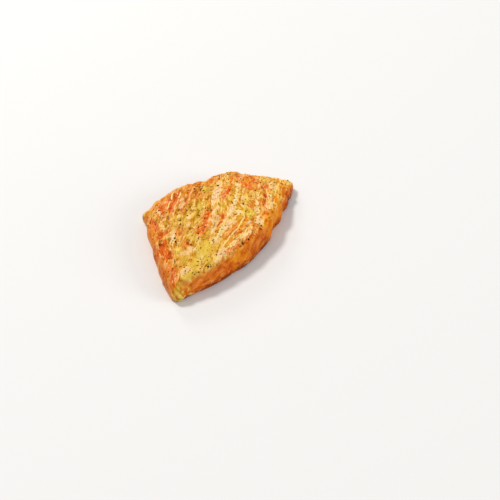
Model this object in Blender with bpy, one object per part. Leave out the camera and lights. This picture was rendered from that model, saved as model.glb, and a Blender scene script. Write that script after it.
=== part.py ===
"""Glazed salmon fillet: one boneless portion, lying flat with the flesh side up.

Metres, +Z up. The origin is at the foot, under the middle of the fillet's box. +X runs along the length,
from the straight cut end to the blunt tip. The fillet is one solid: a grid stretched over the outline makes
the top and its rounded shoulder, a skirt makes the sides, and one flat face makes the foot.
"""

import math

import bmesh
import bpy
import numpy as np
from mathutils import Vector, noise

MM = 0.001

# The outline seen from above, in mm: four corners, and two curve handles for each side between them.
CUT_FRONT = (-70.5, -47.0)
TIP = (73.5, 6.0)
BACK_SHOULDER = (39.5, 40.5)
CUT_BACK = (-43.0, 41.5)
FRONT_HANDLES = ((-14.0, -49.5), (15.0, -50.5))
TIP_HANDLES = ((62.5, 23.0), (69.5, 8.0))
BACK_HANDLES = ((-1.0, 43.5), (-9.0, 50.5))
CUT_HANDLES = ((-46.5, 24.5), (-67.5, -12.5))
CORNER_ROUNDING = 14      # smoothing passes over the outline, which round its corners
OUTLINE_WAVE = 0.5        # mm, how far the knife-cut and torn edges wander
OUTLINE_WAVE_SIZE = 13.0  # mm

# Where the edge stands out or is nicked: (x, y, reach, push), in mm.
EDGE_PUSHES = (
    (14.0, 42.0, 5.0, -1.6),    # the nick in the back edge
    (-42.0, 41.5, 4.0, 1.2),    # the ear at the back of the cut end
    (73.0, 6.0, 3.5, 1.2),      # the flap's two lobes at the tip
    (66.0, -3.5, 3.5, 1.4),
    (58.0, -9.0, 4.5, -1.2),    # where the flap steps back to the front side
)

# Thickness in mm at the corners, the sides' middles and the centre: rows run from the front side to the back,
# columns from the cut end to the tip.
THICKNESS = (
    (14.0, 18.5, 9.5),
    (16.5, 21.5, 12.0),
    (11.5, 16.5, 12.0),
)
SHOULDER_RADIUS = 6.0     # mm, the rounding from the top into the sides
WIDEST_SHARE = 0.42       # of the thickness: the height at which the sides bulge furthest
SKIRT = ((0.62, 0.15), (0.24, 0.5), (0.07, 1.1), (0.0, 2.6))  # (share of the widest height, inset in mm)

# The muscle flakes: bands across the fillet with a seam between each two.
FLAKE_ANGLE = math.radians(42)
FLAKE_PITCH = 7.2         # mm
# Where the bands fold, as in a fish's zigzag muscle: (x, y, reach, shift across the bands), in mm.
FLAKE_FOLDS = (
    (15.0, -20.0, 20.0, 6.5),
    (-66.0, -23.0, 24.0, 7.0),
    (14.5, -11.0, 6.5, 2.6),
    (40.0, 26.0, 18.0, -3.0),
)
SEAM_LEAN = 0.55          # mm that a seam shifts for each mm it runs down a side
FLAKE_CROWN = 0.4         # mm
SEAM_DEPTH = 0.6          # mm
SEAM_WIDTH = 0.22         # share of a flake
FLAKE_WANDER = 4.2        # mm, which makes the flakes uneven in width
WANDER_SIZE = 21.0        # mm
FLAKE_STRENGTHS = (0.0, 1.3)  # how plain the relief is, from where the sauce hides it to where the flesh is bare
STRENGTH_SIZE = 15.0      # mm
LUMP_HEIGHT = 1.0         # mm, the soft unevenness of the flesh
LUMP_SIZE = 19.0          # mm
RIPPLE_HEIGHT = 0.3       # mm
RIPPLE_SIZE = 6.0         # mm
RELIEF_FADE = 0.35        # share of the thickness: below this height the relief fades out towards the foot

# The tip's curled flap: a crease that parts it from the flesh before it.
CREASE_FROM = (60.0, 14.0)  # mm
CREASE_TO = (68.0, -6.0)    # mm
CREASE_DEPTH = 1.2        # mm
CREASE_WIDTH = 1.8        # mm

# Heights in mm at which the noise is read, far apart, so that each pattern is its own.
EDGE_LAYER = 40.0
RIPPLE_LAYER = 90.0
WANDER_LAYER = 200.0
STRENGTH_LAYER = 300.0

LENGTH_STEPS = 76
WIDTH_STEPS = 54
CURVE_STEPS = 40          # times finer than the grid: how finely a side's curve is measured
EDGE_CROWDING = 0.34      # 0 spaces the grid evenly; more crowds its lines towards the outline

FLESH_COLOUR = (0.78, 0.30, 0.07, 1.0)
FLESH_ROUGHNESS = 0.32


def bezier(start, handles, end, count):
    """Points along a cubic curve, from its start up to but not including its end."""
    t = np.arange(count)[:, None] / count
    p0, p1, p2, p3 = (np.array(p) for p in (start, *handles, end))
    return (1 - t) ** 3 * p0 + 3 * (1 - t) ** 2 * t * p1 + 3 * (1 - t) * t * t * p2 + t**3 * p3


def crowded(t):
    """Grid position t, from 0 to 1, moved towards the nearer end."""
    return t - EDGE_CROWDING * np.sin(2 * math.pi * t) / (2 * math.pi)


def side_points(start, handles, end, steps):
    """A side's points at the grid's own spacing, without the last."""
    dense = np.vstack([bezier(start, handles, end, CURVE_STEPS * steps), [end]])
    run = np.concatenate([[0], np.cumsum(np.linalg.norm(np.diff(dense, axis=0), axis=1))])
    wanted = crowded(np.arange(steps) / steps) * run[-1]
    return np.column_stack([np.interp(wanted, run, dense[:, axis]) for axis in (0, 1)])


def outward_normals(loop):
    """Unit normals of a closed anticlockwise loop of points."""
    along = np.roll(loop, -1, axis=0) - np.roll(loop, 1, axis=0)
    along /= np.linalg.norm(along, axis=1)[:, None]
    return np.column_stack([along[:, 1], -along[:, 0]])


def outline_loop():
    """The outline as one closed anticlockwise loop, in mm, with rounded corners and an uneven edge."""
    sides = (
        (CUT_FRONT, FRONT_HANDLES, TIP, LENGTH_STEPS),
        (TIP, TIP_HANDLES, BACK_SHOULDER, WIDTH_STEPS),
        (BACK_SHOULDER, BACK_HANDLES, CUT_BACK, LENGTH_STEPS),
        (CUT_BACK, CUT_HANDLES, CUT_FRONT, WIDTH_STEPS),
    )
    loop = np.vstack([side_points(*side) for side in sides])
    for _ in range(CORNER_ROUNDING):
        loop = 0.5 * loop + 0.25 * (np.roll(loop, 1, axis=0) + np.roll(loop, -1, axis=0))
    waves = [noise.noise(Vector((x, y, EDGE_LAYER)) / OUTLINE_WAVE_SIZE) for x, y in loop]
    push = 2 * OUTLINE_WAVE * np.array(waves)
    for x, y, reach, most in EDGE_PUSHES:
        push += most * np.exp(-np.sum((loop - (x, y)) ** 2, axis=1) / reach**2)
    return loop + outward_normals(loop) * push[:, None]


def coons_point(loop, i, j):
    """The grid point (i, j), blended from the four sides of the outline."""
    n, m = LENGTH_STEPS, WIDTH_STEPS
    u, v = crowded(i / n), crowded(j / m)
    front, tip = loop[i], loop[n + j]
    back, cut = loop[n + m + (n - i)], loop[(2 * n + m + (m - j)) % len(loop)]
    corners = (
        (1 - u) * (1 - v) * loop[0]
        + u * (1 - v) * loop[n]
        + u * v * loop[n + m]
        + (1 - u) * v * loop[2 * n + m]
    )
    return (1 - v) * front + v * back + (1 - u) * cut + u * tip - corners


def parabola_weights(t):
    """The shares of a start, a middle and an end value at t, for a parabola through all three."""
    return np.array([(1 - t) * (1 - 2 * t), 4 * t * (1 - t), t * (2 * t - 1)])


def thickness_at(u, v):
    """The flesh's thickness in mm, smoothly through the nine stated values."""
    return float(parabola_weights(v) @ np.array(THICKNESS) @ parabola_weights(u))


def flake_place(x, y, drop):
    """Which flake a point is in, as a number that grows by 1 from seam to seam. All in mm."""
    across = y * math.cos(FLAKE_ANGLE) - x * math.sin(FLAKE_ANGLE)
    for fold_x, fold_y, reach, shift in FLAKE_FOLDS:
        across += shift * math.exp(-((x - fold_x) ** 2 + (y - fold_y) ** 2) / reach**2)
    wander = FLAKE_WANDER * noise.noise(Vector((x, y, WANDER_LAYER)) / WANDER_SIZE)
    return (across + SEAM_LEAN * drop + wander) / FLAKE_PITCH


def from_crease(x, y):
    """The distance in mm from the line of the tip's crease."""
    start, end, point = Vector(CREASE_FROM), Vector(CREASE_TO), Vector((x, y))
    along = (point - start).dot(end - start) / (end - start).length_squared
    return (point - start.lerp(end, min(1.0, max(0.0, along)))).length


def relief(x, y, z, thickness):
    """How far the surface stands out along its normal, in mm."""
    place = flake_place(x, y, thickness - z)
    share = place % 1.0
    to_seam = min(share, 1 - share)
    least, most = FLAKE_STRENGTHS
    bareness = 0.5 + noise.noise(Vector((x, y, STRENGTH_LAYER)) / STRENGTH_SIZE)
    strength = least + (most - least) * min(1.0, max(0.0, bareness))
    crown = FLAKE_CROWN * math.sin(math.pi * share)
    seam = SEAM_DEPTH * math.exp(-((to_seam / SEAM_WIDTH) ** 2))
    lumps = LUMP_HEIGHT * noise.noise(Vector((x, y, z)) / LUMP_SIZE)
    ripple = RIPPLE_HEIGHT * noise.noise(Vector((x, y, z + RIPPLE_LAYER)) / RIPPLE_SIZE)
    crease = CREASE_DEPTH * math.exp(-((from_crease(x, y) / CREASE_WIDTH) ** 2))
    return strength * (crown - seam) + lumps + ripple - crease


def shoulder(distance):
    """The share of the height above the widest line that is reached this far in from the outline, in mm."""
    if distance >= SHOULDER_RADIUS:
        return 1.0
    return math.sqrt(1 - (1 - distance / SHOULDER_RADIUS) ** 2)


def add_top(mesh, loop):
    """Adds the grid over the outline. Returns its rim's vertices in the loop's order, and the flesh's thickness
    in mm at each vertex."""
    n, m = LENGTH_STEPS, WIDTH_STEPS
    bmesh.ops.create_grid(mesh, x_segments=n, y_segments=m, size=1.0)
    rim, thick = {}, {}
    for vertex in mesh.verts:
        i, j = round((vertex.co.x + 1) / 2 * n), round((vertex.co.y + 1) / 2 * m)
        x, y = coons_point(loop, i, j)
        tall = thickness_at(crowded(i / n), crowded(j / m))
        widest = WIDEST_SHARE * tall
        inside = np.min(np.linalg.norm(loop - (x, y), axis=1))
        vertex.co = (x, y, widest + (tall - widest) * shoulder(inside))
        thick[vertex] = tall
        if j == 0 and i < n:
            rim[i] = vertex
        elif i == n and j < m:
            rim[n + j] = vertex
        elif j == m and i > 0:
            rim[n + m + (n - i)] = vertex
        elif i == 0 and j > 0:
            rim[2 * n + m + (m - j)] = vertex
    return [rim[k] for k in range(len(rim))], thick


def add_skirt(mesh, rim, thick, normals):
    """Adds the sides, ring by ring from the widest line down, and the flat foot."""
    upper = rim
    for share, inset in SKIRT:
        ring = []
        for vertex, normal in zip(rim, normals):
            x, y = vertex.co.x - inset * normal[0], vertex.co.y - inset * normal[1]
            lower = mesh.verts.new((x, y, share * WIDEST_SHARE * thick[vertex]))
            thick[lower] = thick[vertex]
            ring.append(lower)
        for k in range(len(ring)):
            after = (k + 1) % len(ring)
            mesh.faces.new((upper[after], upper[k], ring[k], ring[after]))
        upper = ring
    mesh.faces.new(tuple(reversed(upper)))


def carve_relief(mesh, thick):
    """Moves each vertex along its normal by the relief, which fades out above the flat foot."""
    mesh.normal_update()
    moves = []
    for vertex in mesh.verts:
        x, y, z = vertex.co
        fade = min(1.0, z / (RELIEF_FADE * thick[vertex]))
        moves.append(vertex.normal * relief(x, y, z, thick[vertex]) * fade)
    for vertex, move in zip(mesh.verts, moves):
        vertex.co += move


def centre_and_scale(mesh):
    """Puts the box's middle over the origin, and turns mm into metres."""
    points = np.array([vertex.co for vertex in mesh.verts])
    middle = (points.min(axis=0) + points.max(axis=0)) / 2
    for vertex in mesh.verts:
        vertex.co = (vertex.co - Vector((middle[0], middle[1], 0))) * MM


def flesh_material():
    material = bpy.data.materials.new("glazed_flesh")
    material.use_nodes = True
    surface = material.node_tree.nodes["Principled BSDF"]
    surface.inputs["Base Color"].default_value = FLESH_COLOUR
    surface.inputs["Roughness"].default_value = FLESH_ROUGHNESS
    surface.inputs["Metallic"].default_value = 0.0
    return material


def make_fillet():
    loop = outline_loop()
    mesh = bmesh.new()
    rim, thick = add_top(mesh, loop)
    add_skirt(mesh, rim, thick, outward_normals(loop))
    carve_relief(mesh, thick)
    centre_and_scale(mesh)
    data = bpy.data.meshes.new("salmon_fillet")
    mesh.to_mesh(data)
    mesh.free()
    data.shade_smooth()
    data.materials.append(flesh_material())
    fillet = bpy.data.objects.new("salmon_fillet", data)
    bpy.context.scene.collection.objects.link(fillet)
    return fillet


for old in list(bpy.data.objects):
    bpy.data.objects.remove(old)
make_fillet()
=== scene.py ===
# Glazed salmon fillet: one portion, flesh side up, under a thin mustard glaze with cracked pepper.
# The frame is in metres. As flesh is fine work, many values here are in mm, and the notes say which.
import math

import bmesh
import bpy
import numpy as np
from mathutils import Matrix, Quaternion, Vector, noise


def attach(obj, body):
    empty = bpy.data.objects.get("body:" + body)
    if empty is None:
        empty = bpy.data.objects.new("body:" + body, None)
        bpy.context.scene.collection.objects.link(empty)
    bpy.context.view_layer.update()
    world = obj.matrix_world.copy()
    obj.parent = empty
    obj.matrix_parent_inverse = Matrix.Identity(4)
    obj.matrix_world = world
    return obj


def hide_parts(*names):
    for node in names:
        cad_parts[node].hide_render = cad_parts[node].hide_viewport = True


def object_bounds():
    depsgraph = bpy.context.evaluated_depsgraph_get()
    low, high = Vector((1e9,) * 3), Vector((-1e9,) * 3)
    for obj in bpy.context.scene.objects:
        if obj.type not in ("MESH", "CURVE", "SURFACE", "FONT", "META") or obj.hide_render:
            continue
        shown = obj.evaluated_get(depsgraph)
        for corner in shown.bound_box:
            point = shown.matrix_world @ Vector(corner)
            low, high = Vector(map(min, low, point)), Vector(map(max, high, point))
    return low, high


mm = 0.001    # metres

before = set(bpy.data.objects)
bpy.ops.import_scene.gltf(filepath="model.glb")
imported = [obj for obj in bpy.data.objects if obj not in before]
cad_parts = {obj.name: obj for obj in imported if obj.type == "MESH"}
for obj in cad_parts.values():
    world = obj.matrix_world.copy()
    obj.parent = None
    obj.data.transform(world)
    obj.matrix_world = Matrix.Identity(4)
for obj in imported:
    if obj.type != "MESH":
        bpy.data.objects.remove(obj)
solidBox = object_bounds()
boxLow, boxHigh = (np.array(corner) / mm for corner in solidBox)
print("frame loaded, box in mm:", np.round(boxHigh - boxLow, 1))


# Small helpers for nodes. Most return a node's output, which the next one can take.

def plug(tree, node, sockets):
    # Each socket gets a plain value or another node's output.
    for name, value in sockets.items():
        if isinstance(value, bpy.types.NodeSocket):
            tree.links.new(value, node.inputs[name])
        else:
            node.inputs[name].default_value = value


def addNode(tree, kind, sockets=None, **settings):
    node = tree.nodes.new(kind)
    for name, value in settings.items():
        setattr(node, name, value)
    plug(tree, node, sockets or {})
    return node


def calc(tree, operation, *values, clamp=False):
    sockets = dict(enumerate(values))
    return addNode(tree, "ShaderNodeMath", sockets, operation=operation, use_clamp=clamp).outputs[0]


def summed(tree, parts, start, weights):
    # weights: how much of each named part is added to the start.
    total = start
    for name, weight in weights.items():
        total = calc(tree, "MULTIPLY_ADD", parts[name], weight, total)
    return total


def between(tree, share, first, second):
    return addNode(tree, "ShaderNodeMix", {"Factor": share, "A": first, "B": second}).outputs["Result"]


def rise(tree, value, low, high):
    # From 0 at low to 1 at high, smoothly, also where low is the greater.
    sockets = {"Value": value, "From Min": low, "From Max": high}
    return addNode(tree, "ShaderNodeMapRange", sockets, interpolation_type="SMOOTHSTEP").outputs["Result"]


def mixed(tree, share, under, over):
    # Counted from 0, the Mix node's colours are its sockets 6 and 7, and the mixed one is its output 2.
    return addNode(tree, "ShaderNodeMix", {0: share, 6: under, 7: over}, data_type="RGBA").outputs[2]


def painted(tree, name, output="Fac"):
    return addNode(tree, "ShaderNodeAttribute", attribute_name=name).outputs[output]


def scaled(tree, place, sizes):
    # sizes: how long one unit of a pattern is along the three axes of the place.
    sockets = {"Vector": place, "Scale": [1 / size for size in sizes]}
    return addNode(tree, "ShaderNodeMapping", sockets).outputs[0]


def placeInMm(tree):
    return scaled(tree, addNode(tree, "ShaderNodeTexCoord").outputs["Object"], (mm, mm, mm))


def stretchedNoise(tree, place, sizes, detail, roughness):
    # It runs from -0.5 to 0.5.
    sockets = {"Vector": scaled(tree, place, sizes), "Scale": 1.0, "Detail": detail, "Roughness": roughness}
    return calc(tree, "SUBTRACT", addNode(tree, "ShaderNodeTexNoise", sockets).outputs["Fac"], 0.5)


def newMaterial(name):
    material = bpy.data.materials.new(name)
    material.use_nodes = True
    return material, material.node_tree, material.node_tree.nodes["Principled BSDF"]


# The stage: camera, lamps, air and floor.

view = {
    "aim": (0.0037, -0.0303, 0.0),  # metres, the point on the floor that the camera looks at
    "distance": 0.7928,             # metres
    "turn": 34.51,                  # degrees from +Y towards +X
    "height": 43.22,                # degrees above the floor
    "roll": -0.78,                  # degrees
    "lens": 77.28,                  # mm
    "sensor": 36.0,                 # mm wide
    "nearest": 0.01,                # metres from the camera at which things start to be drawn
}

light = {
    # Each lamp's place in metres from the fillet, its size in metres and its power in watts.
    "lamps": {
        "key": ((-0.8, 2.0, 2.9), 0.8, 80.0),    # behind the fillet and to the camera's left
        "rim": ((0.4, 2.6, 1.3), 0.8, 17.0),
        "fill": ((1.7, -2.3, 1.1), 1.6, 34.0),
    },
    "lampTint": (1.0, 0.97, 0.93),
    "air": 0.52,                    # the soft light from all round
    "airShine": 0.12,               # how bright that light looks in the wet glaze
    "backdrop": 0.90,               # how bright the air looks behind the floor
    "floorWidth": 12.0,             # metres
    "floorTone": 0.785,
    "floorRoughness": 0.9,
    "floorSpecular": 0.1,
}


def makeCamera():
    turn, height = math.radians(view["turn"]), math.radians(view["height"])
    level = math.cos(height)
    ahead = Vector((math.sin(turn) * level, math.cos(turn) * level, -math.sin(height)))
    camera = bpy.data.objects.new("camera", bpy.data.cameras.new("camera"))
    camera.data.lens = view["lens"]
    camera.data.sensor_width = view["sensor"]
    camera.data.clip_start = view["nearest"]
    camera.location = Vector(view["aim"]) - ahead * view["distance"]
    rolled = Quaternion((0, 0, 1), math.radians(view["roll"]))
    camera.rotation_euler = (ahead.to_track_quat("-Z", "Y") @ rolled).to_euler()
    bpy.context.scene.collection.objects.link(camera)
    bpy.context.scene.camera = camera


def addSoftbox(name, place, size, power):
    lamp = bpy.data.lights.new(name, "AREA")
    lamp.shape = "DISK"
    lamp.size = size
    lamp.energy = power
    lamp.color = light["lampTint"]
    holder = bpy.data.objects.new(name, lamp)
    holder.location = place
    holder.rotation_euler = (-Vector(place)).to_track_quat("-Z", "Y").to_euler()
    bpy.context.scene.collection.objects.link(holder)


def makeAir():
    # One strength lights the fillet, one is seen in its shine, and one past the floor's edge.
    world = bpy.data.worlds.new("air")
    world.use_nodes = True
    tree = world.node_tree
    rays = addNode(tree, "ShaderNodeLightPath").outputs
    strength = between(tree, rays["Is Camera Ray"], light["air"], light["backdrop"])
    strength = between(tree, rays["Is Glossy Ray"], strength, light["airShine"])
    plug(tree, tree.nodes["Background"], {"Color": (1, 1, 1, 1), "Strength": strength})
    bpy.context.scene.world = world


def makeFloor():
    mesh = bpy.data.meshes.new("floor")
    half = light["floorWidth"] / 2
    corners = [(-half, -half, 0), (half, -half, 0), (half, half, 0), (-half, half, 0)]
    mesh.from_pydata(corners, [], [(0, 1, 2, 3)])
    material, tree, surface = newMaterial("paleFloor")
    plug(tree, surface, {
        "Base Color": (*(light["floorTone"],) * 3, 1.0),
        "Roughness": light["floorRoughness"],
        "Specular IOR Level": light["floorSpecular"],
    })
    mesh.materials.append(material)
    floor = bpy.data.objects.new("floor", mesh)
    bpy.context.scene.collection.objects.link(floor)


makeCamera()
for name, (place, size, power) in light["lamps"].items():
    addSoftbox(name, place, size, power)
makeAir()
makeFloor()
bpy.context.scene.view_settings.view_transform = "Standard"
print("stage ready")


# The fillet's mesh. Its bands of muscle run as they do in the solid.
bands = {
    "middle": (1.8193, -1.6092),  # mm from the origin back to the point that the bands are drawn from
    "angle": 42.0,         # degrees
    "pitch": 7.2,          # mm
    # Places where the bands bend: (x, y, reach, shift) in mm.
    "folds": ((15, -20, 20, 6.5), (-66, -23, 24, 7), (14.5, -11, 6.5, 2.6), (40, 26, 18, -3)),
    "lean": 0.55,          # mm of shift for each mm down a side
    "wander": 4.2,         # mm
    "wanderSize": 21.0,    # mm
    "wanderLayer": 200.0,  # the height at which the noise is read
}

fillet = {
    "smoothing": 2,               # subdivision levels
    "joinedUpTo": 60.0,           # degrees between two triangles that still become one four-sided face
    "inset": 0.2,                 # mm kept free for the relief inside the solid's box
    "flatFoot": (0.3, 3.0),       # mm: no relief below the first height, and all of it above the second
    "fixedFoot": (0.0, 3.0),      # mm: the same for a swell's push up or down
    "sideFrom": (0.85, 0.4),      # how far a normal points up where a side starts, and where all is side
    "sheetFrom": 0.9,             # the smooth sheet follows the top where a normal points up by more
    "sheetScale": 50.0,           # mm, which keeps that sheet's terms near 1
    "dropFrom": (0.97, 0.75),     # the same where the drop below that sheet starts to count, and counts fully
    "seamDepth": 0.30,            # mm
    "seamWidth": 0.6,             # mm
    "seamGaps": (-0.4, 0.5),      # of the patchiness: no seam below the first, a full one above the second
    "ridgeHeight": 0.26,          # mm
    "ridgeSize": (8.0, 2.8, 3.5),  # mm along the bands, across them, and in height
    "wallRidges": 0.4,            # what is left of the ridges on a side
    "fibreHeight": 0.07,          # mm
    "fibreSize": (3.0, 0.9, 1.5),  # mm
    "wallSize": (9.0, 1.5, 13.333),  # mm along a side, up it and into it, for the streaks
    "wallSlope": 0.6,             # how steeply the streaks on the sides climb
    "cutSlope": 0.32,             # what is added to that on the straight cut end
    "cutEnd": (0.3, 0.8),         # how far a normal has to point to -X for that
    "climb": (1.4, 11.0),         # mm: how far the streaks wander, and over what size
    "sauceHeight": 0.25,          # mm
    "sauceSoftens": 0.35,         # how far a pool evens out what lies under it
    "sauceHides": 0.75,           # and how much of the fine relief it hides
    "sauceLumps": 0.045,          # mm
    "sauceLumpSize": 3.0,         # mm
    "lineHeight": 0.14,           # mm, the fat lines
    "lineEdge": (2.4, 0.6),       # half widths from a fat line: where it starts to rise, and is full
    "creaseDepth": 0.7,           # mm
    "stainDepth": 0.2,            # mm
    "paleHeight": 0.16,           # mm, how far the pale flesh stands up
    "redDepth": 0.3,              # mm, how deep the bare red flesh lies
    "hollowRoom": 0.35,           # mm below its surroundings at which a hollow is full of sauce
    "smoothRounds": 26,           # rounds of averaging that find the surroundings
    "warp": ((1.2, 6.0), (0.6, 1.8)),  # mm: how far the patches' edges wander, and over what size
    "markWarp": 0.25,             # the share of that for creases, stains and lines of fat
    "wiggle": (0.35, 4.5),        # mm: how far the lines of fat wander besides, and over what size
    "patchFade": (0.7, 1.4),      # how fast a patch fades from its middle, and how flat its middle is
    "patchiness": 9.0,            # mm, the size of the soft unevenness in seams and sauce
    "drawnFrom": (-0.6, 1.1, 0.0),  # mm, where the drawn patches' own middle lies
}

# Sauce gathers in hollows and slips off bare, pale and warm flesh: a start, and what each field adds to it.
sauceFlow = {
    "start": 0.34,
    "patchiness": 0.28,
    "marble": -0.1,
    "hollow": 0.22,
    "redness": -0.45,
    "paleness": -0.35,
    "amber": -0.2,
    "warmth": -0.18,
    "clearOfSides": 0.95,   # the share of it that stays off the sides
    "most": 1.2,
    "covers": (0.3, 0.9),   # how much of it starts to cover the relief, and covers it
    "lumpy": (0.2, 0.6),    # how much of it starts to be lumpy, and is fully so
}

# Stretches painted apart from the rest: a painted rim light, the paler cut end with its beads, and painted
# shade on the sides. The pairs are where each one starts and where it is full.
stretches = {
    # A painted rim light runs along the back edge, where the surface turns down.
    "rimLightAt": (0.6, 0.14),        # by what share a normal points up on the back rim, and how far it may differ
    "rimLightBack": (0.1, 0.5),       # how far a normal points to +Y
    "endPale": 0.95,             # how pale the straight cut end is
    "endFacing": (0.2, 0.7),     # how far a normal points to -X
    "endHeight": (24.0, 3.0, 3.0),   # mm: none at the first, full at the second, and how far its edge wavers
    "beadHeight": (4.0, 2.5),    # mm
    # Painted shade on the sides that face +X and -Y, away from the key lamp, deepest towards the foot.
    "shadeFacing": (0.1, 0.6),    # how far a normal points to +X and -Y together
    "shadeHeight": (9.0, 0.0),    # mm
    "shadeAbove": 0.25,           # the share of it that goes all the way up
}

# Heights at which each noise is read, so that every pattern is its own.
layers = {
    "warpX": 11, "warpY": 37, "wiggle": 71, "marble": 3, "climb": 83, "wall": 9, "patchiness": 5,
    "fibres": 21, "lumps": 3, "scatter": 61,
}
noiseGain = 1.6      # brings the noise to about -1 to 1
octaveFade = 0.55    # how much weaker each finer octave is
octaveShift = 7      # how far apart in height two octaves are read
farAway = 9.0        # half widths from a line of fat, past which none is counted

# Where the flesh swells past the solid or stays inside it: (x, y, z, reach) and the push, in mm.
swells = (
    (31, 41, 14, 11, 0.3, 0.5, 1.4), (60, 13, 12, 8, -0.3, -0.4, -0.3), (54, 20.5, 12, 6, 0.3, 0.6, 0.5),
    (49, -14, 4, 6, -2.2, 2.2, 0), (35, -23, 4, 6, -1.2, 1.2, 0), (28, -27.5, 4, 6, -1.6, 1.4, 0),
    (12, -36, 3, 7, 0.2, -0.3, 0), (-2, -40, 2, 7, 0.3, -0.7, 0), (54, -7.5, 4.5, 5, 1.6, -1.4, 0),
    (65, 1.5, 3, 4, 0.4, -0.4, 0), (-8, -44, 5, 8, 0.2, -0.4, 0), (-27, -45, 2, 6, 0.1, -0.5, 0),
    (-14, 44.5, 15.5, 9, 0, 0.5, 0.6), (19, 41, 14.5, 7, 0.1, 0.4, 0.6), (39, 32, 15, 6, -0.2, -0.4, -0.8),
    (47, 27.5, 13, 5, -0.1, -0.3, -0.3), (67, 9, 10, 5, -0.1, -0.3, -0.4),
    (-43, 43, 8.5, 5, 0.5, -0.4, -0.2), (-37, 42, 12.5, 5, 0.3, -0.4, -0.3), (-50, 30, 8, 12, 0.6, -0.3, 0),
    (-39, 40, 12, 5, 0.6, -1.0, -0.4), (-57, 4, 6, 9, 0.5, 0, 0), (-48, -46, 2, 5, -0.1, 0.6, 0),
    (-70.5, -43, 1, 2.5, 0.6, 0.3, 0), (-63.3, -13.9, 1.2, 1.5, -0.6, 0, 0),
    (-67.4, -24.3, 1.4, 1.7, -0.7, 0, 0), (-65.5, -45.5, 2.0, 4, -0.3, -1.1, 0),
    (-46, 40.5, 7, 4, -1.1, 0.6, 0), (51.5, -10, 3, 3.5, 0.9, -0.8, 0), (31, -25.5, 3, 4, -0.6, 0.6, 0),
    (-14, -43, 1, 5, 0.3, -0.8, 0), (-24, 44, 14.5, 5, 0.3, -0.5, -0.6), (-67, -45.5, 1.5, 3, 0.2, 0.8, 0),
)

# Patches as they lie on the flesh, in mm and degrees: (x, y, half length, half width, turn, strength).
redFlesh = (
    (-34.3, 28, 5.2, 2.6, 65, 0.95), (-21.3, 30, 10.5, 2.3, 43, 1.0), (-26, 32.7, 5, 1.8, 45, 0.85),
    (-19.5, 21, 8, 1.6, 42, 0.9), (-28, 24.3, 2.8, 2, 45, 0.7), (-33.5, 36.5, 3, 2, 70, 0.5),
    (-47, 19, 9.5, 2.1, 74, 0.8), (-50.2, 3.8, 4, 2.4, 60, 0.75), (-46.5, 1.8, 3, 1.6, 20, 0.6),
    (-56.8, -9.5, 6.5, 3.6, 72, 1.0), (-51.5, -5, 3, 1.6, 60, 0.8), (-57.5, -17.5, 5, 3.2, 65, 0.8),
    (-38, -4.5, 2.6, 1.6, 50, 0.55), (-39.3, -18.4, 2.2, 1.5, 50, 0.7), (-24.5, -11.7, 6.5, 2.3, 30, 0.9),
    (-16.5, -6.2, 6, 2, 45, 0.95), (-12.2, -1, 4.5, 2, 58, 1.0), (-9, -12.6, 2.6, 1.8, 50, 0.6),
    (-12.6, -15.2, 3, 1.8, 45, 0.6), (-4.3, -8.6, 3.5, 1.8, 50, 0.6), (-25.7, 14, 1.8, 1.2, 45, 0.5),
    (14.6, 33, 4, 1.6, 55, 0.65), (25, 22.5, 4, 1.6, 50, 0.7), (29, 27.6, 3, 1.1, 60, 0.6),
    (34.3, 14.8, 4.6, 3.4, 40, 0.65), (41.7, 15.9, 4.6, 2, 45, 1.0), (34.5, 26.3, 3.6, 2.3, 50, 0.75),
    (42.8, 23, 3, 1.8, 45, 0.7), (44.5, 7.3, 4, 1.8, 45, 0.9), (34, 8.7, 3, 2, 50, 0.6),
    (15.8, 14, 8.5, 2.6, 48, 0.65), (9.3, 9.3, 3, 1.6, 50, 0.5), (26.8, -20.8, 2.4, 1.8, 50, 0.8),
    (32.2, -11.6, 6, 2, 57, 0.95), (37.6, -5, 3.5, 1.5, 58, 0.75), (20.3, -10.5, 3, 1.5, 60, 0.5),
    (-1.8, -29.8, 3.5, 1.5, 20, 0.65), (4.3, -27.2, 2.2, 1.2, 40, 0.6), (-12.9, -27.6, 2, 1.2, 30, 0.5),
    (-1.8, -20.1, 4, 1.6, 42, 0.4), (-9, -35.2, 3, 1.5, 20, 0.6), (-17, -39.2, 7, 2, 8, 0.85),
    (0.5, -38.3, 9, 2, 17, 1.0), (12, -35, 6, 2.2, 27, 0.8), (33, -23.5, 6, 1.6, 35, 0.8),
    (-64, -33.5, 5.5, 2.6, 72, 0.65), (-66.4, -39.5, 4, 2.4, 78, 0.8), (-64.5, -27, 3.2, 1.8, 75, 0.5),
    (-24.2, -22.8, 2.4, 1.5, 30, 0.45), (55, -5, 5, 1.6, 40, 0.6), (58, -2, 3, 1.4, 30, 0.6),
)
warmFlesh = (
    (-27, 29, 16, 8, 38, 1.0), (-52, 12, 16, 4, 77, 0.8), (-58, -12, 12, 6, 77, 0.9),
    (-64, -34, 12, 5, 75, 0.9), (-40, -5, 8, 5, 50, 0.6), (-16, -6, 14, 5, 42, 0.9),
    (13, 15, 11, 5, 45, 0.8), (37, 17, 12, 9, 40, 1.0), (44, 5, 9, 5, 50, 0.8), (27, -8, 8, 4, 55, 0.7),
    (58, 0, 10, 5, 40, 0.7), (15, -29, 24, 6, 28, 1.0), (-8, -26, 12, 5, 38, 0.7), (10, 37, 20, 6, 0, 0.8),
    (-16, -40, 10, 3, 8, 0.9), (-42, -15, 8, 4, 40, 0.6), (50, 20, 10, 5, -42, 0.7),
    (-3, -12, 10, 4, 42, 0.5), (-7, 27, 11, 8, 45, 0.8), (13, 39, 9, 4, 0, 1.0), (-15, 39, 8, 4, 0, 0.9),
    (36, 29, 7, 4, -40, 0.9),
)
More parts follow.
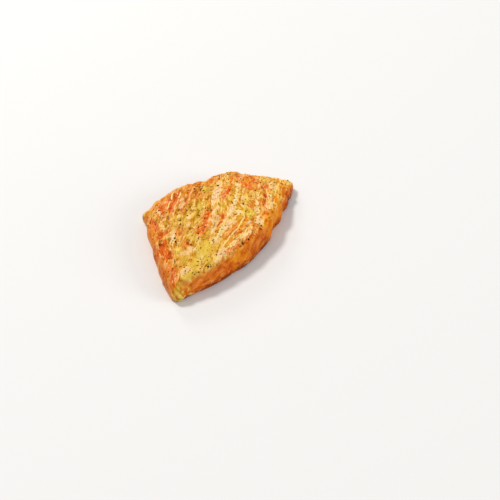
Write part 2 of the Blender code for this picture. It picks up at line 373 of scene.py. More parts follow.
# Pale patches: pale fat on the flakes, partly painted highlights where the wet flake tops catch the light.
paleFleshAndHighlights = (
    (8.8, 18, 12, 2.3, 47, 1.3), (-20, 23, 4.5, 1.6, 48, 0.75), (-29.6, -0.8, 3, 1.7, 45, 0.75),
    (-41, 7, 3, 1.8, 30, 0.35), (-45.3, 7.4, 2.8, 2, 40, 0.6), (-43.2, -1.9, 3.4, 2.4, 35, 0.95),
    (-47.2, -7.6, 3.8, 1.4, 60, 0.85), (-51.5, -12.5, 3.2, 1.2, 65, 0.4), (-9.7, -8.6, 4.4, 1.9, 50, 1.0),
    (-3.4, 1.1, 3.4, 1.3, 30, 0.85), (-7.2, -3.6, 4.8, 1.2, 52, 0.8), (-1.2, -1, 2.2, 0.8, 50, 0.5),
    (-17.4, -16.1, 3.6, 1.6, 55, 0.95), (-13.4, -11.8, 3.4, 1.4, 50, 0.7), (-43, -23.4, 6.4, 1.8, -3, 0.9),
    (-26, -38.6, 5.6, 2.5, 18, 1.0), (-31.5, -41.5, 3.4, 1, 5, 0.7), (-20.6, -26.3, 5.6, 1.6, 33, 0.9),
    (-13.6, -21.2, 4.2, 1.3, 37, 0.7), (-55.4, -37.3, 4.4, 2.5, 8, 0.85), (-42.6, -38, 2.6, 1.1, 55, 0.5),
    (-38.6, -34, 2.6, 1.3, 40, 0.5), (5.6, -6, 6, 2.5, 45, 1.0), (8.6, -10, 2.6, 1.2, -40, 0.8),
    (14.4, 1.6, 5.6, 1.2, 50, 1.0), (-5, -17.4, 5, 1.9, 42, 0.9), (0.6, -16.4, 4, 1.5, 45, 0.6),
    (-8.6, -20, 3.6, 1.3, 38, 0.7), (15.8, -26.7, 3.2, 2.2, -30, 0.9), (18, -28.7, 2.4, 0.9, 30, 0.7),
    (8.6, -24.5, 3, 1.5, 25, 0.65), (6.6, -29.6, 2.6, 1.3, 30, 0.5), (-2.6, -33.4, 4, 1.5, 25, 0.65),
    (-12.4, -36, 5, 1.2, 15, 0.65), (2.2, -33.8, 2.4, 1, 45, 0.6), (21.9, -16.2, 2.8, 1.8, 60, 0.9),
    (27.2, -8.8, 4, 1.1, 62, 0.65), (31.7, -15.9, 2.6, 1.6, 60, 0.85), (36.6, -15, 3.2, 1.3, 55, 0.85),
    (18.4, -21.9, 2.6, 1.2, 60, 0.6), (39.9, -7.4, 4.4, 1.2, 60, 0.7), (50.2, 4.3, 3.8, 2.7, 40, 1.0),
    (50.4, 8.2, 2.4, 1.2, 45, 0.6), (25, 32, 3.5, 1.3, 55, 0.55), (54.2, 20.2, 3.4, 2, -40, 0.7),
    (27, 16.4, 4.8, 1.7, 50, 0.65), (22.2, 10.6, 3, 0.9, 50, 0.6), (25.4, 8.2, 2.8, 0.8, 60, 0.6),
    (47.2, 21, 3, 1.4, 45, 0.35), (20.4, 1, 4, 1.2, 52, 0.6), (32.2, -3, 2.6, 1.2, 60, 0.6),
    (15.8, -5.2, 3, 1.1, 50, 0.5), (-24, 5.6, 3, 1.6, 40, 0.6), (-29.8, 17.8, 2.6, 1.6, 45, 0.35),
    (-38, 25.4, 5.4, 1, 78, 0.45), (-39.8, 16.4, 4, 1, 55, 0.5), (-43.7, 13.6, 3.6, 1.1, 55, 0.4),
)
saucePools = (
    (-36, -31, 11, 7, 30, 1.0), (-30, -27, 6, 4, 70, 0.9), (-46, -36, 8, 4, 10, 0.8),
    (-57, -42, 10, 3, 2, 0.9), (-30, -40, 10, 1.8, 8, 0.8), (-24, 8, 20, 6, 0, 0.66),
    (-43, -10, 6, 3, 50, 0.6), (-33, -14, 5, 4, 45, 0.7), (-11, 13, 7, 6, 30, 0.8),
    (3, 27, 5, 3.5, 50, 0.9), (-14, 30, 5, 4, 40, 0.5), (15, -19, 5, 3.5, 60, 0.9),
    (14, -12, 5, 4, 50, 0.8), (10, 3, 5, 4, 45, 0.6), (56, 16, 5, 2.5, -40, 0.5),
    (47.5, -8.5, 6, 2.5, 45, 0.6), (39, -15, 4, 2, 50, 0.8), (25, 25, 6, 3, 45, 0.4),
    (55, 19, 4, 2.5, -40, 0.6), (-63, -44, 7, 2.5, -2, 1.0), (-52, -18, 5, 2.5, 70, 0.5),
    (-50, -30, 6, 4, 60, 0.6), (30, 2, 10, 3, 50, 0.4), (50, -1, 9, 5, 45, 0.6), (2, 3, 9, 5, 35, 0.7),
    (-20, -8, 5, 5, 40, 0.5), (-49, -20, 5, 7, 0, 0.6), (28, -18, 9, 3, 35, 0.6),
    (-18, -41, 9, 2.5, 8, 0.6), (-65, -31, 3, 5, 0, 0.55), (-35, 20, 3.5, 5, 60, 0.6),
    (-53, 0, 3.5, 7, 0, 0.6), (-42, -12, 8, 3.5, 25, 0.6), (-46, 18, 6, 2, 75, 0.5),
)
# Sauce that has run down a side.
sauceRuns = (
    (-67, -45.5, 6, 3.5, -8, 0.9), (-58, -46.5, 7, 1.6, -3, 0.5), (-42.5, 41, 5, 3, 20, 0.7),
)
# Creases: carved in, and painted dark as the shade that lies in them.
creases = (
    (6, -11.5, 1.7, 0.6, 15, 1.0), (-9.4, -40, 1.3, 0.5, 8, 1.0), (-6.2, -39.5, 1.4, 0.5, 20, 0.8),
    (-39.4, -16.6, 2.2, 0.7, 60, 0.9), (-40.2, 20.9, 1.6, 0.5, 55, 0.9), (1, 29, 3.5, 0.6, 52, 0.9),
    (-56.5, -25.6, 2.4, 0.6, 65, 0.8), (12.8, -14.8, 1.4, 0.5, 50, 0.7), (22.8, 35.6, 3, 0.6, 58, 0.7),
    (-31, 6.8, 1.9, 0.5, 20, 0.7), (-20.8, 13.8, 2, 0.5, 50, 0.5), (-20.4, 18.1, 1.4, 0.6, 50, 0.7),
    (16.5, -17, 1.6, 0.5, 55, 0.6), (8.2, 17, 0.8, 0.6, 50, 0.7), (1.4, 15.2, 2.2, 0.6, 52, 0.6),
    (-3, 27.6, 1.6, 0.6, 60, 0.8), (-2.1, 22, 2.6, 0.6, 60, 0.5), (46.6, 16.2, 2.4, 0.5, 55, 0.6),
    (-46.2, -12, 1.8, 0.8, 52, 0.8), (-3.7, -2.4, 1.3, 0.8, 50, 0.7), (-33.6, -0.8, 2.2, 0.7, 50, 0.6),
)
# Small brown stains, where husk and pepper dust have gathered.
stains = (
    (-54, -15.7, 1.4, 1, 70, 0.7), (-50.5, -21, 1.4, 0.7, 65, 0.8), (-63, -21.8, 1.6, 1.2, 60, 0.4),
    (-57.8, -30.1, 1.6, 0.8, 60, 0.8), (-44, -19.1, 1.4, 0.9, 60, 0.6), (-33.4, -19.7, 1.1, 0.9, 40, 0.8),
    (-37.8, -22.6, 1.6, 0.7, 70, 0.5), (-40.6, -34.8, 1.1, 0.8, 40, 0.6), (-39, -36, 1.3, 0.7, 40, 0.6),
    (-52.5, -31.6, 2.6, 1.1, 60, 0.5), (-42.5, -38.6, 1.8, 0.8, 55, 0.5), (-32, -9.2, 1.2, 0.9, 40, 0.7),
    (-34.5, -8.4, 1.2, 0.9, 40, 0.8), (-29.9, -5.7, 1.6, 1.1, 40, 1.0), (-48.3, -4.1, 1.1, 0.8, 40, 0.8),
    (-23.4, -4.6, 1.4, 0.9, 50, 0.8), (-25.7, -17, 1.2, 0.8, 50, 0.6), (-29.9, -18.6, 1.2, 0.8, 50, 0.6),
    (-30.4, -20.8, 1.2, 0.8, 50, 0.6), (-21.6, -21.6, 1.4, 0.9, 50, 0.5), (-20, -15.6, 1.3, 0.8, 50, 0.6),
    (-24.8, -33.2, 1.1, 0.9, 40, 0.7), (-20.2, -30.2, 1.4, 0.8, 50, 0.6), (-24.3, -28, 1.6, 0.8, 60, 0.6),
    (-4.6, -10.8, 1.2, 0.8, 50, 0.6), (-8, -21.8, 1.4, 0.8, 45, 0.6), (-26.8, -39.6, 1.1, 0.8, 20, 0.9),
    (-6, -36.8, 1.2, 0.9, 40, 0.8), (-9.6, -33.2, 1.3, 0.9, 50, 0.7), (-20, -41.8, 1.1, 0.7, 10, 0.8),
    (-16, -41.2, 1.1, 0.7, 30, 0.8), (-27.4, -43, 1.1, 0.6, 20, 0.8), (-18.2, -42.9, 1.2, 0.5, 5, 0.7),
    (-36.2, 16.2, 2.6, 1.2, 60, 0.6), (-39, 13.4, 1.8, 1.1, 55, 0.6), (-37.9, 18, 1.2, 0.8, 45, 0.5),
    (-28.2, 16.7, 1.2, 0.9, 45, 0.4), (-25.2, 18.5, 1.5, 1, 60, 0.8), (-23.3, 11.8, 1.5, 1.1, 50, 0.6),
    (-37.9, 3.7, 1.1, 0.8, 30, 0.6), (-36, 2.8, 1.2, 0.9, 30, 0.6), (-44.3, 3.7, 1, 0.7, 40, 0.6),
    (-48.4, 9.6, 1.6, 0.8, 60, 0.6), (-3.4, 29.6, 1.5, 0.9, 60, 0.7), (-6.1, 28.1, 1.3, 0.9, 50, 0.6),
    (5.4, 32.4, 1.3, 0.8, 45, 0.7), (6.8, 22.8, 1.3, 0.9, 55, 0.8), (9, 26.4, 1.4, 0.8, 45, 0.7),
    (2.7, 20.8, 1.5, 0.9, 45, 0.6), (-8.2, 21.6, 1.8, 0.9, 62, 0.6), (-8.5, 18, 1.4, 0.8, 60, 0.6),
    (-10.2, 15.2, 1.9, 0.9, 52, 0.6), (-12.2, 13.8, 1.2, 0.8, 50, 0.6), (-6.5, 13.4, 1, 0.8, 40, 0.8),
    (-8.4, 9.5, 1.2, 0.8, 45, 0.5), (-11.2, 7, 1.1, 0.9, 60, 0.8), (-17.1, 10.2, 1.5, 1.1, 60, 0.7),
    (-17.9, 3.8, 1.1, 1, 40, 1.0), (-21.4, 13.2, 1, 0.8, 50, 0.6), (-5.8, 4.8, 1, 0.7, 50, 0.5),
    (-8.1, 4.2, 1, 0.7, 50, 0.5), (-15.1, 4, 1.6, 0.8, 60, 0.6), (1.8, 5, 1.6, 0.9, 60, 0.6),
    (10.7, 0.2, 1.3, 0.8, 60, 0.7), (10.4, -3, 1.1, 0.7, 55, 0.8), (-12.1, 38.6, 1.6, 0.9, 60, 0.6),
    (16.3, 7.5, 1.4, 0.9, 50, 0.7), (17.4, 0.3, 1.4, 0.8, 60, 0.6), (18.7, -1.6, 1.4, 0.7, 55, 0.6),
    (-23.6, 0.6, 1.1, 0.8, 50, 0.5), (18.3, -3.9, 1.3, 0.6, 45, 0.6), (19.4, -7, 1, 0.8, 40, 0.9),
    (9.7, -7.3, 1.8, 0.7, 50, 0.6), (14.4, -12.8, 1.3, 0.8, 30, 0.6), (10.6, -17.6, 1.6, 1, 45, 0.5),
    (28.3, 4.8, 1.4, 0.7, 60, 0.7), (25.7, 0.8, 1, 0.8, 50, 0.5), (27.7, -0.3, 1.3, 0.8, 20, 0.6),
    (25.8, -11.3, 1.3, 0.8, 55, 0.5), (30.3, -19.8, 1.4, 1, 40, 0.6), (27.6, -22.3, 1.4, 0.7, 55, 0.7),
    (19.2, -20.3, 1.1, 0.7, 50, 0.6), (21.4, -29.2, 1.3, 0.7, 20, 0.6), (5.6, -32, 1.3, 0.9, 50, 0.6),
    (30.8, -12, 0.9, 0.7, 50, 0.9), (38, -17, 1.4, 0.9, 40, 0.7), (21.3, 11.1, 1.5, 0.7, 60, 0.6),
    (22, 8.8, 1.2, 0.8, 60, 0.7), (28.2, 8.6, 1.5, 0.7, 65, 0.7), (19.9, 13.6, 1.2, 0.8, 50, 0.6),
    (34.8, 20.5, 1.6, 0.6, 50, 0.7), (37.6, 20.8, 1.4, 0.6, 55, 0.6), (54.1, 11.1, 1.3, 0.9, 30, 0.6),
    (55, -0.4, 1.9, 0.9, 35, 0.6), (50.5, -2.4, 1.5, 0.7, 50, 0.5), (25.2, 33.4, 1.6, 0.7, 60, 0.7),
    (-33, -12.6, 1.2, 0.8, 45, 0.5), (-35.6, -30.4, 3, 1.6, 40, 0.3), (-48, -27.6, 2, 1, 40, 0.35),
)
# Lines of fat on the top, in mm: half the line's width, then the points that it passes.
fatLines = (
    (0.38, (-31, 25.4), (-28, 28), (-25, 30.6), (-21.5, 34.5), (-17.5, 38.3)),
    (0.42, (-27, -28), (-20, -24), (-10, -17.8), (-4.6, -13.8), (-1, -11.4), (5, -8)),
    (0.42, (9, -4.4), (11, -2.4), (14.4, 1.7), (17.8, 6), (20.4, 9), (25, 15), (29, 20)),
    (0.42, (-26, -36.5), (-20, -34), (-10, -29), (0, -23.8), (5, -20.3), (9, -18),
     (11, -14), (10.4, -11), (8, -9.4)),
    (0.3, (-21, -37), (-6, -33), (6, -28)),
    (0.35, (19.2, 23.8), (22.3, 25.5), (24.4, 26.8), (27, 29.8), (29, 33)),
    (0.3, (22, -17), (26, -11), (28, -7), (32, 3)),
    (0.3, (32, -18), (36, -12), (38, -7), (44, 3)),
    (0.3, (-27, 21.5), (-20, 28), (-13, 35)),
    (0.3, (2, -34), (6, -31), (8, -27)),
)

# Glaze that lies clear and amber over the flesh, mostly where it rounds the rim.
amberGlaze = (
    (67, 8, 9, 6, 20, 2.0), (38, 16, 9, 5, 40, 1.0), (58, 1, 8, 3.5, 40, 0.9), (48, -9, 9, 3.5, 45, 1.5),
    (37, -18, 9, 4, 40, 1.6), (24, -25, 8, 3.5, 35, 0.9), (21, -30, 9, 4, 33, 0.9),
    (5, -36, 10, 3, 22, 0.8), (-10, -42, 12, 2.4, 12, 0.8), (1, -23, 9, 1.8, 32, 0.9),
    (9, -21.5, 5, 3, 40, 0.8), (60, 16, 6, 2.5, -45, 0.6), (44, 27, 8, 3, -40, 0.5),
    (-13, -31.8, 4.5, 2.1, 25, 1.0), (-1, -26, 3.4, 1.8, 30, 1.0), (5, -23.4, 4, 1.9, 40, 1.0),
    (25, -6.3, 3.6, 1.6, 55, 0.7), (-4, 7.8, 3, 1.6, 50, 0.6), (-9, 33.6, 4, 3, 30, 0.6),
    (-61.6, -42.8, 3.6, 1.8, 60, 0.9), (-52.3, 17, 5, 1.6, 75, 0.6), (8, 36, 10, 3, 5, 0.5),
    (-34, 36, 10, 3, 20, 0.6), (-55, 8, 14, 3, 77, 0.5), (-66, -44, 6, 3, 0, 0.6),
    (-62, -30, 12, 3, 77, 0.6), (16, 12, 7, 3, 45, 0.4), (-39, 26, 4, 3, 45, 0.6),
)
# Painted sheen: stretches of the sides painted brighter.
paintedSheen = (
    (-54, -46, 9, 3, 2, 0.8), (-40, -47, 8, 3, 0, 0.6), (30, -26, 12, 3, 33, 0.5),
    (-20, -45, 10, 3, 8, 0.4),
)
# Broad stretches that lie lighter or darker than the rest.
lighter = (
    (35, 16, 17, 11, 30, 0.8), (56, 0, 10, 8, 40, 1.0), (28, -18, 13, 5, 35, 1.4),
    (-22, -41, 13, 4, 8, 1.6), (-2, 1, 8, 5, 45, 0.7), (15, -31, 9, 4, 25, 0.6), (66, 8, 7, 6, 0, 1.7),
    (10, 16, 10, 4, 47, 1.2),
)
darker = (
    (-28, 12, 27, 14, 15, 1.1), (-2, 24, 6, 9, 30, 0.9), (-36, -16, 7, 9, 0, 0.7), (-46, -30, 7, 5, 0, 0.6),
    (-66, -42, 7, 5, 0, 0.8), (-52, 0, 7, 12, 0, 0.8), (54, 20, 5, 5, 0, 0.8),
)
# Pale beads of cooked albumen at the foot.
beads = ((-63.3, -13.9, 2, 1.6, 75, 1.0), (-67.4, -24.3, 2.2, 1.6, 75, 1.0), (-60.5, -4, 1.6, 1.2, 75, 0.8))

# The fields that are painted on the flesh for its material.
fieldNames = (
    "marble", "hollow", "warmth", "redness", "paleness", "amber", "sauce", "fat", "side", "crease", "stain",
    "rim", "endPale", "paintedWallShade", "sheen", "shade",
)


def readVectors(collection, key):
    flat = np.empty(len(collection) * 3, np.float32)
    collection.foreach_get(key, flat)
    return flat.reshape(-1, 3).astype(float)


def weldedCopy(node, name):
    # The solid's loose triangles, sewn together and paired into four-sided faces, open at the foot.
    mesh = node.data.copy()
    mesh.name = name
    sewn = bmesh.new()
    sewn.from_mesh(mesh)
    tiny = mm / 1000      # corners nearer than this are one, and lower ones lie on the floor
    bmesh.ops.remove_doubles(sewn, verts=sewn.verts, dist=tiny)
    foot = [face for face in sewn.faces if max(corner.co.z for corner in face.verts) < tiny]
    bmesh.ops.delete(sewn, geom=foot, context="FACES")
    widest = math.radians(fillet["joinedUpTo"])
    bmesh.ops.join_triangles(
        sewn, faces=sewn.faces, angle_face_threshold=widest, angle_shape_threshold=widest)
    sewn.to_mesh(mesh)
    sewn.free()
    mesh.materials.clear()
    return mesh


def subdivided(mesh, levels):
    holder = bpy.data.objects.new("smoothing", mesh)
    bpy.context.scene.collection.objects.link(holder)
    smoother = holder.modifiers.new("smooth", "SUBSURF")
    smoother.levels = smoother.render_levels = levels
    graph = bpy.context.evaluated_depsgraph_get()
    # Smoothing draws the rim inwards, so the corners are pushed out by what they lose.
    wanted = readVectors(mesh.vertices, "co")
    softened = readVectors(holder.evaluated_get(graph).data.vertices, "co")[:len(wanted)]
    mesh.vertices.foreach_set("co", (wanted + (wanted - softened)).astype(np.float32).ravel())
    mesh.update()
    graph = bpy.context.evaluated_depsgraph_get()
    result = bpy.data.meshes.new_from_object(holder.evaluated_get(graph))
    bpy.data.objects.remove(holder)
    return result


def closeFoot(mesh):
    # One flat face closes the foot.
    shell = bmesh.new()
    shell.from_mesh(mesh)
    rim = [edge for edge in shell.edges if edge.is_boundary]
    bmesh.ops.holes_fill(shell, edges=rim, sides=0)
    bmesh.ops.recalc_face_normals(shell, faces=shell.faces)
    shell.to_mesh(mesh)
    shell.free()


def noiseAt(points, size, layer=0, octaves=1):
    # Smooth noise from about -1 to 1, finer and weaker with each octave.
    total = np.zeros(len(points))
    for octave in range(octaves):
        rows = np.array(points) * (2**octave / size)
        rows[:, 2] += layer + octaveShift * octave
        total += np.array([noise.noise(row) for row in rows.tolist()]) * octaveFade**octave
    return noiseGain * total


def step(low, high, value):
    # From 0 at low to 1 at high, smoothly, also where low is the greater.
    share = np.clip((value - low) / (high - low), 0, 1)
    return share * share * (3 - 2 * share)


def patchStrength(x, y, patches):
    # The strongest patch at each point: full in its middle, half gone at its edge, and nothing well outside.
    total = np.zeros(len(x))
    fade, flatness = fillet["patchFade"]
    for midX, midY, halfLength, halfWidth, turn, strength in patches:
        c, s = math.cos(math.radians(turn)), math.sin(math.radians(turn))
        along = ((x - midX) * c + (y - midY) * s) / halfLength
        across = ((y - midY) * c - (x - midX) * s) / halfWidth
        total = np.maximum(total, strength * np.exp(-fade * (along**2 + across**2) ** flatness))
    return total


def lineDistance(x, y, lines):
    # Distance to the nearest line, as a share of that line's half width.
    nearest = np.full(len(x), farAway)
    for halfWidth, *points in lines:
        for (x1, y1), (x2, y2) in zip(points, points[1:]):
            length = (x2 - x1) ** 2 + (y2 - y1) ** 2
            share = np.clip(((x - x1) * (x2 - x1) + (y - y1) * (y2 - y1)) / length, 0, 1)
            away = np.hypot(x - x1 - share * (x2 - x1), y - y1 - share * (y2 - y1))
            nearest = np.minimum(nearest, away / halfWidth)
    return nearest


def bandCoordinates(points, drop):
    # How far along the bands a point lies, and across them counted in bands, so that whole numbers are seams.
    x, y = points[:, 0] + bands["middle"][0], points[:, 1] + bands["middle"][1]
    c, s = math.cos(math.radians(bands["angle"])), math.sin(math.radians(bands["angle"]))
    across = y * c - x * s
    for foldX, foldY, reach, shift in bands["folds"]:
        across += shift * np.exp(-((x - foldX) ** 2 + (y - foldY) ** 2) / reach**2)
    flat = np.column_stack([x, y, np.full(len(x), bands["wanderLayer"])])
    across += bands["wander"] * noiseAt(flat, bands["wanderSize"]) / noiseGain + bands["lean"] * drop
    return x * c + y * s, across / bands["pitch"]


def dropBelowTop(points, normals):
    # How far down a side a point is: below a smooth sheet laid over the top. None on the top itself.
    x, y = points[:, 0] / fillet["sheetScale"], points[:, 1] / fillet["sheetScale"]
    terms = np.column_stack([x**i * y**j for i in range(3) for j in range(3)])
    top = normals[:, 2] > fillet["sheetFrom"]
    sheet = terms @ np.linalg.lstsq(terms[top], points[top, 2], rcond=None)[0]
    return np.maximum(sheet - points[:, 2], 0) * step(*fillet["dropFrom"], normals[:, 2])


def averaged(values, edges, rounds):
    # In each round every point goes half way to the mean of its neighbours.
    first, second = edges[:, 0], edges[:, 1]
    count = len(values)
    ties = (np.bincount(first, minlength=count) + np.bincount(second, minlength=count))[:, None]
    for _ in range(rounds):
        total = np.zeros_like(values)
        for axis in range(values.shape[1]):
            total[:, axis] = np.bincount(first, values[second, axis], count)
            total[:, axis] += np.bincount(second, values[first, axis], count)
        values = 0.5 * values + 0.5 * total / ties
    return values


def store(mesh, name, values):
    # One number or one vector for each point of the mesh.
    kind, key = ("FLOAT_VECTOR", "vector") if values.ndim == 2 else ("FLOAT", "value")
    mesh.attributes.new(name, kind, "POINT").data.foreach_set(key, values.astype(np.float32).ravel())


def swollen(points):
    for midX, midY, midZ, reach, *push in swells:
        away = np.linalg.norm(points - (midX, midY, midZ), axis=1) / reach
        moved = np.outer(np.exp(-(away**2)), push)
        moved[:, 2] *= step(*fillet["fixedFoot"], points[:, 2])
        points = points + moved
    return points


def surroundingsOf(mesh, points):
    pairs = np.empty(len(mesh.edges) * 2, np.int32)
    mesh.edges.foreach_get("vertices", pairs)
    return averaged(points, pairs.reshape(-1, 2), fillet["smoothRounds"])


def fleshFlow(points, normals, side):
    # How the flesh runs: the grain, the streaks on the sides, the mm to the nearest seam, and the marbling.
    along, band = bandCoordinates(points, dropBelowTop(points, normals))
    across = band * bands["pitch"]
    share = band % 1.0
    toSeam = np.minimum(share, 1 - share) * bands["pitch"]
    slope = fillet["wallSlope"] + fillet["cutSlope"] * step(*fillet["cutEnd"], -normals[:, 0])
    reach, size = fillet["climb"]
    climb = points[:, 2] - slope * along + reach * noiseAt(points, size, layers["climb"])
    grain = np.column_stack([along, across, points[:, 2]])
    streaks = np.column_stack([along, climb, across]) / fillet["wallSize"]
    marble = noiseAt(grain / fillet["ridgeSize"], 1.0, layers["marble"], 2) * (1 - side)
    marble += noiseAt(streaks, 1.0, layers["wall"], 2) * side
    return grain, streaks, toSeam, marble


def sauceField(fields, x, y):
    # 0 where the flesh is bare and 1 where a pool lies.
    film = sauceFlow["start"]
    for name in ("patchiness", "marble"):
        film = film + sauceFlow[name] * fields[name]
    sauce = np.maximum(patchStrength(x, y, saucePools), film)
    sauce *= 1 - sauceFlow["clearOfSides"] * fields["side"]
    sauce = np.maximum(sauce, patchStrength(x, y, sauceRuns))
    for name in ("hollow", "redness", "paleness", "amber", "warmth"):
        sauce += sauceFlow[name] * fields[name]
    return np.clip(sauce, 0, sauceFlow["most"])


def addStretches(fields, normals, height, x, y):
    # A painted rim light along the back edge, where the surface turns down.
    middle, spread = stretches["rimLightAt"]
    rim = np.exp(-(((normals[:, 2] - middle) / spread) ** 2))
    fields["rim"] = rim * step(*stretches["rimLightBack"], normals[:, 1])
    low, high, waver = stretches["endHeight"]
    endPale = stretches["endPale"] * step(*stretches["endFacing"], -normals[:, 0])
    endPale *= step(low, high, height + waver * fields["patchiness"])
    beading = patchStrength(x, y, beads) * step(*stretches["beadHeight"], height)
    fields["endPale"] = np.maximum(endPale, beading)
    # Painted shade: the sides that face +X and -Y are darker, most of all at the foot.
    above = stretches["shadeAbove"]
    paintedWallShade = step(*stretches["shadeFacing"], normals[:, 0] - normals[:, 1]) * fields["side"]
    fields["paintedWallShade"] = paintedWallShade * (above + (1 - above) * step(*stretches["shadeHeight"], height))


def paintedFields(points, normals, hollow, marble, side):
    # How much of each thing lies at each point. The patches' edges wander, those of small marks less.
    drawn = points - fillet["drawnFrom"]
    x, y = drawn[:, 0].copy(), drawn[:, 1].copy()
    for turn, (reach, size) in enumerate(fillet["warp"]):
        x += reach * noiseAt(points, size, layers["warpX"] + turn)
        y += reach * noiseAt(points, size, layers["warpY"] + turn)
    share = fillet["markWarp"]
    nearX, nearY = share * x + (1 - share) * drawn[:, 0], share * y + (1 - share) * drawn[:, 1]
    reach, size = fillet["wiggle"]
    wiggle = reach * noiseAt(points, size, layers["wiggle"])
    top = 1 - side
    fields = {
        "marble": marble,
        "hollow": hollow,
        "side": side,
        "patchiness": noiseAt(points, fillet["patchiness"], layers["patchiness"]),
        "warmth": patchStrength(x, y, warmFlesh),
        "redness": patchStrength(x, y, redFlesh) * top,
        "paleness": patchStrength(x, y, paleFleshAndHighlights) * top,
        "amber": patchStrength(x, y, amberGlaze),
        "sheen": patchStrength(x, y, paintedSheen) * side,
        "shade": patchStrength(x, y, lighter) - patchStrength(x, y, darker),
        "crease": patchStrength(nearX, nearY, creases) * top,
        "stain": patchStrength(nearX, nearY, stains) * top,
        "fat": lineDistance(nearX + wiggle, nearY - wiggle, fatLines) + farAway * side,
    }
    fields["sauce"] = sauceField(fields, x, y)
    addStretches(fields, normals, points[:, 2], x, y)
    return fields, drawn


def carved(points, normals, surroundings, grain, toSeam, fields, covered):
    # The relief, in mm along the surface's normal. Sauce fills and softens what lies under it.
    top = 1 - fields["side"]
    relief = -fillet["seamDepth"] * np.exp(-((toSeam / fillet["seamWidth"]) ** 2))
    relief *= step(*fillet["seamGaps"], fields["patchiness"]) * top
    relief += fillet["ridgeHeight"] * fields["marble"] * (top + fillet["wallRidges"] * fields["side"])
    relief += fillet["fibreHeight"] * noiseAt(grain / fillet["fibreSize"], 1.0, layers["fibres"])
    relief *= 1 - fillet["sauceHides"] * covered
    lumps = noiseAt(points, fillet["sauceLumpSize"], layers["lumps"], 2)
    lumps *= step(*sauceFlow["lumpy"], fields["sauce"])
    relief += fillet["sauceHeight"] * covered + fillet["sauceLumps"] * lumps
    relief += fillet["lineHeight"] * step(*fillet["lineEdge"], fields["fat"])
    relief += fillet["paleHeight"] * fields["paleness"] * top
    for name, depth in (("crease", "creaseDepth"), ("stain", "stainDepth"), ("redness", "redDepth")):
        relief -= fillet[depth] * fields[name]
    relief = (relief - fillet["inset"]) * step(*fillet["flatFoot"], points[:, 2])
    evened = (surroundings - points) * (fillet["sauceSoftens"] * covered * top)[:, None]
    return np.clip(points + evened + normals * relief[:, None], boxLow, boxHigh)


def paintAndCarve(mesh):
    points = swollen(readVectors(mesh.vertices, "co") / mm)
    normals = readVectors(mesh.vertices, "normal")
    surroundings = surroundingsOf(mesh, points)
    hollow = np.clip(np.sum((surroundings - points) * normals, axis=1) / fillet["hollowRoom"], -1, 1)
    side = step(*fillet["sideFrom"], normals[:, 2])      # 0 on the top, 1 on the sides
    grain, streaks, toSeam, marble = fleshFlow(points, normals, side)
    fields, drawn = paintedFields(points, normals, hollow, marble, side)
    covered = step(*sauceFlow["covers"], fields["sauce"])
    points = carved(points, normals, surroundings, grain, toSeam, fields, covered)
    mesh.vertices.foreach_set("co", (points * mm).astype(np.float32).ravel())
    mesh.update()
    store(mesh, "grain", grain)
    store(mesh, "streaks", streaks)
    for name in fieldNames:
        store(mesh, name, fields[name])
    for kind, density in grainDensities(points, drawn, side, covered).items():
        store(mesh, kind, density)


